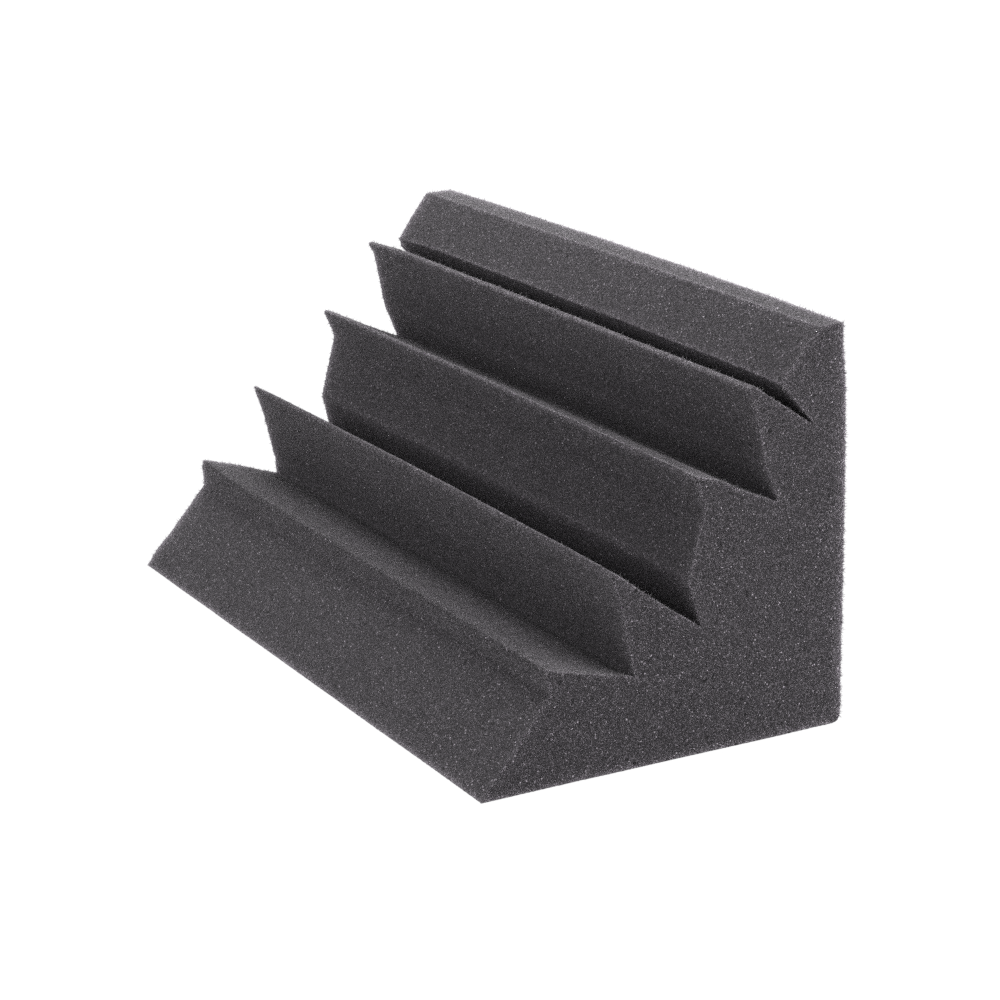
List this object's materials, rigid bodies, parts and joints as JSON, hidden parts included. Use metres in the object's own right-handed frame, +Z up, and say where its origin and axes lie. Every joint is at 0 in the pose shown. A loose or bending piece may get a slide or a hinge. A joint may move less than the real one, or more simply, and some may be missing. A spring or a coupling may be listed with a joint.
{
  "type": "corner bass trap",
  "caption": "Wedge-shaped foam bass trap for a room corner, with flat back and bottom faces and deep slanted fins cut along its sloping front.",
  "frame": {"origin": "centre of the bottom face's rectangle, on the surface the trap stands on", "axes": "+X along the trap and the room corner it fills, +Y towards the surface behind it, +Z up from the bottom face; the fins face -Y and up"},
  "size_m": [0.61, 0.3045, 0.305],
  "materials": {
    "charcoal_foam": "matt open-cell polyurethane foam, wire-cut, charcoal grey with a faint glitter of cell struts"
  },
  "bodies": {
    "root": {"foam_block": "charcoal_foam"}
  },
  "joints": []
}
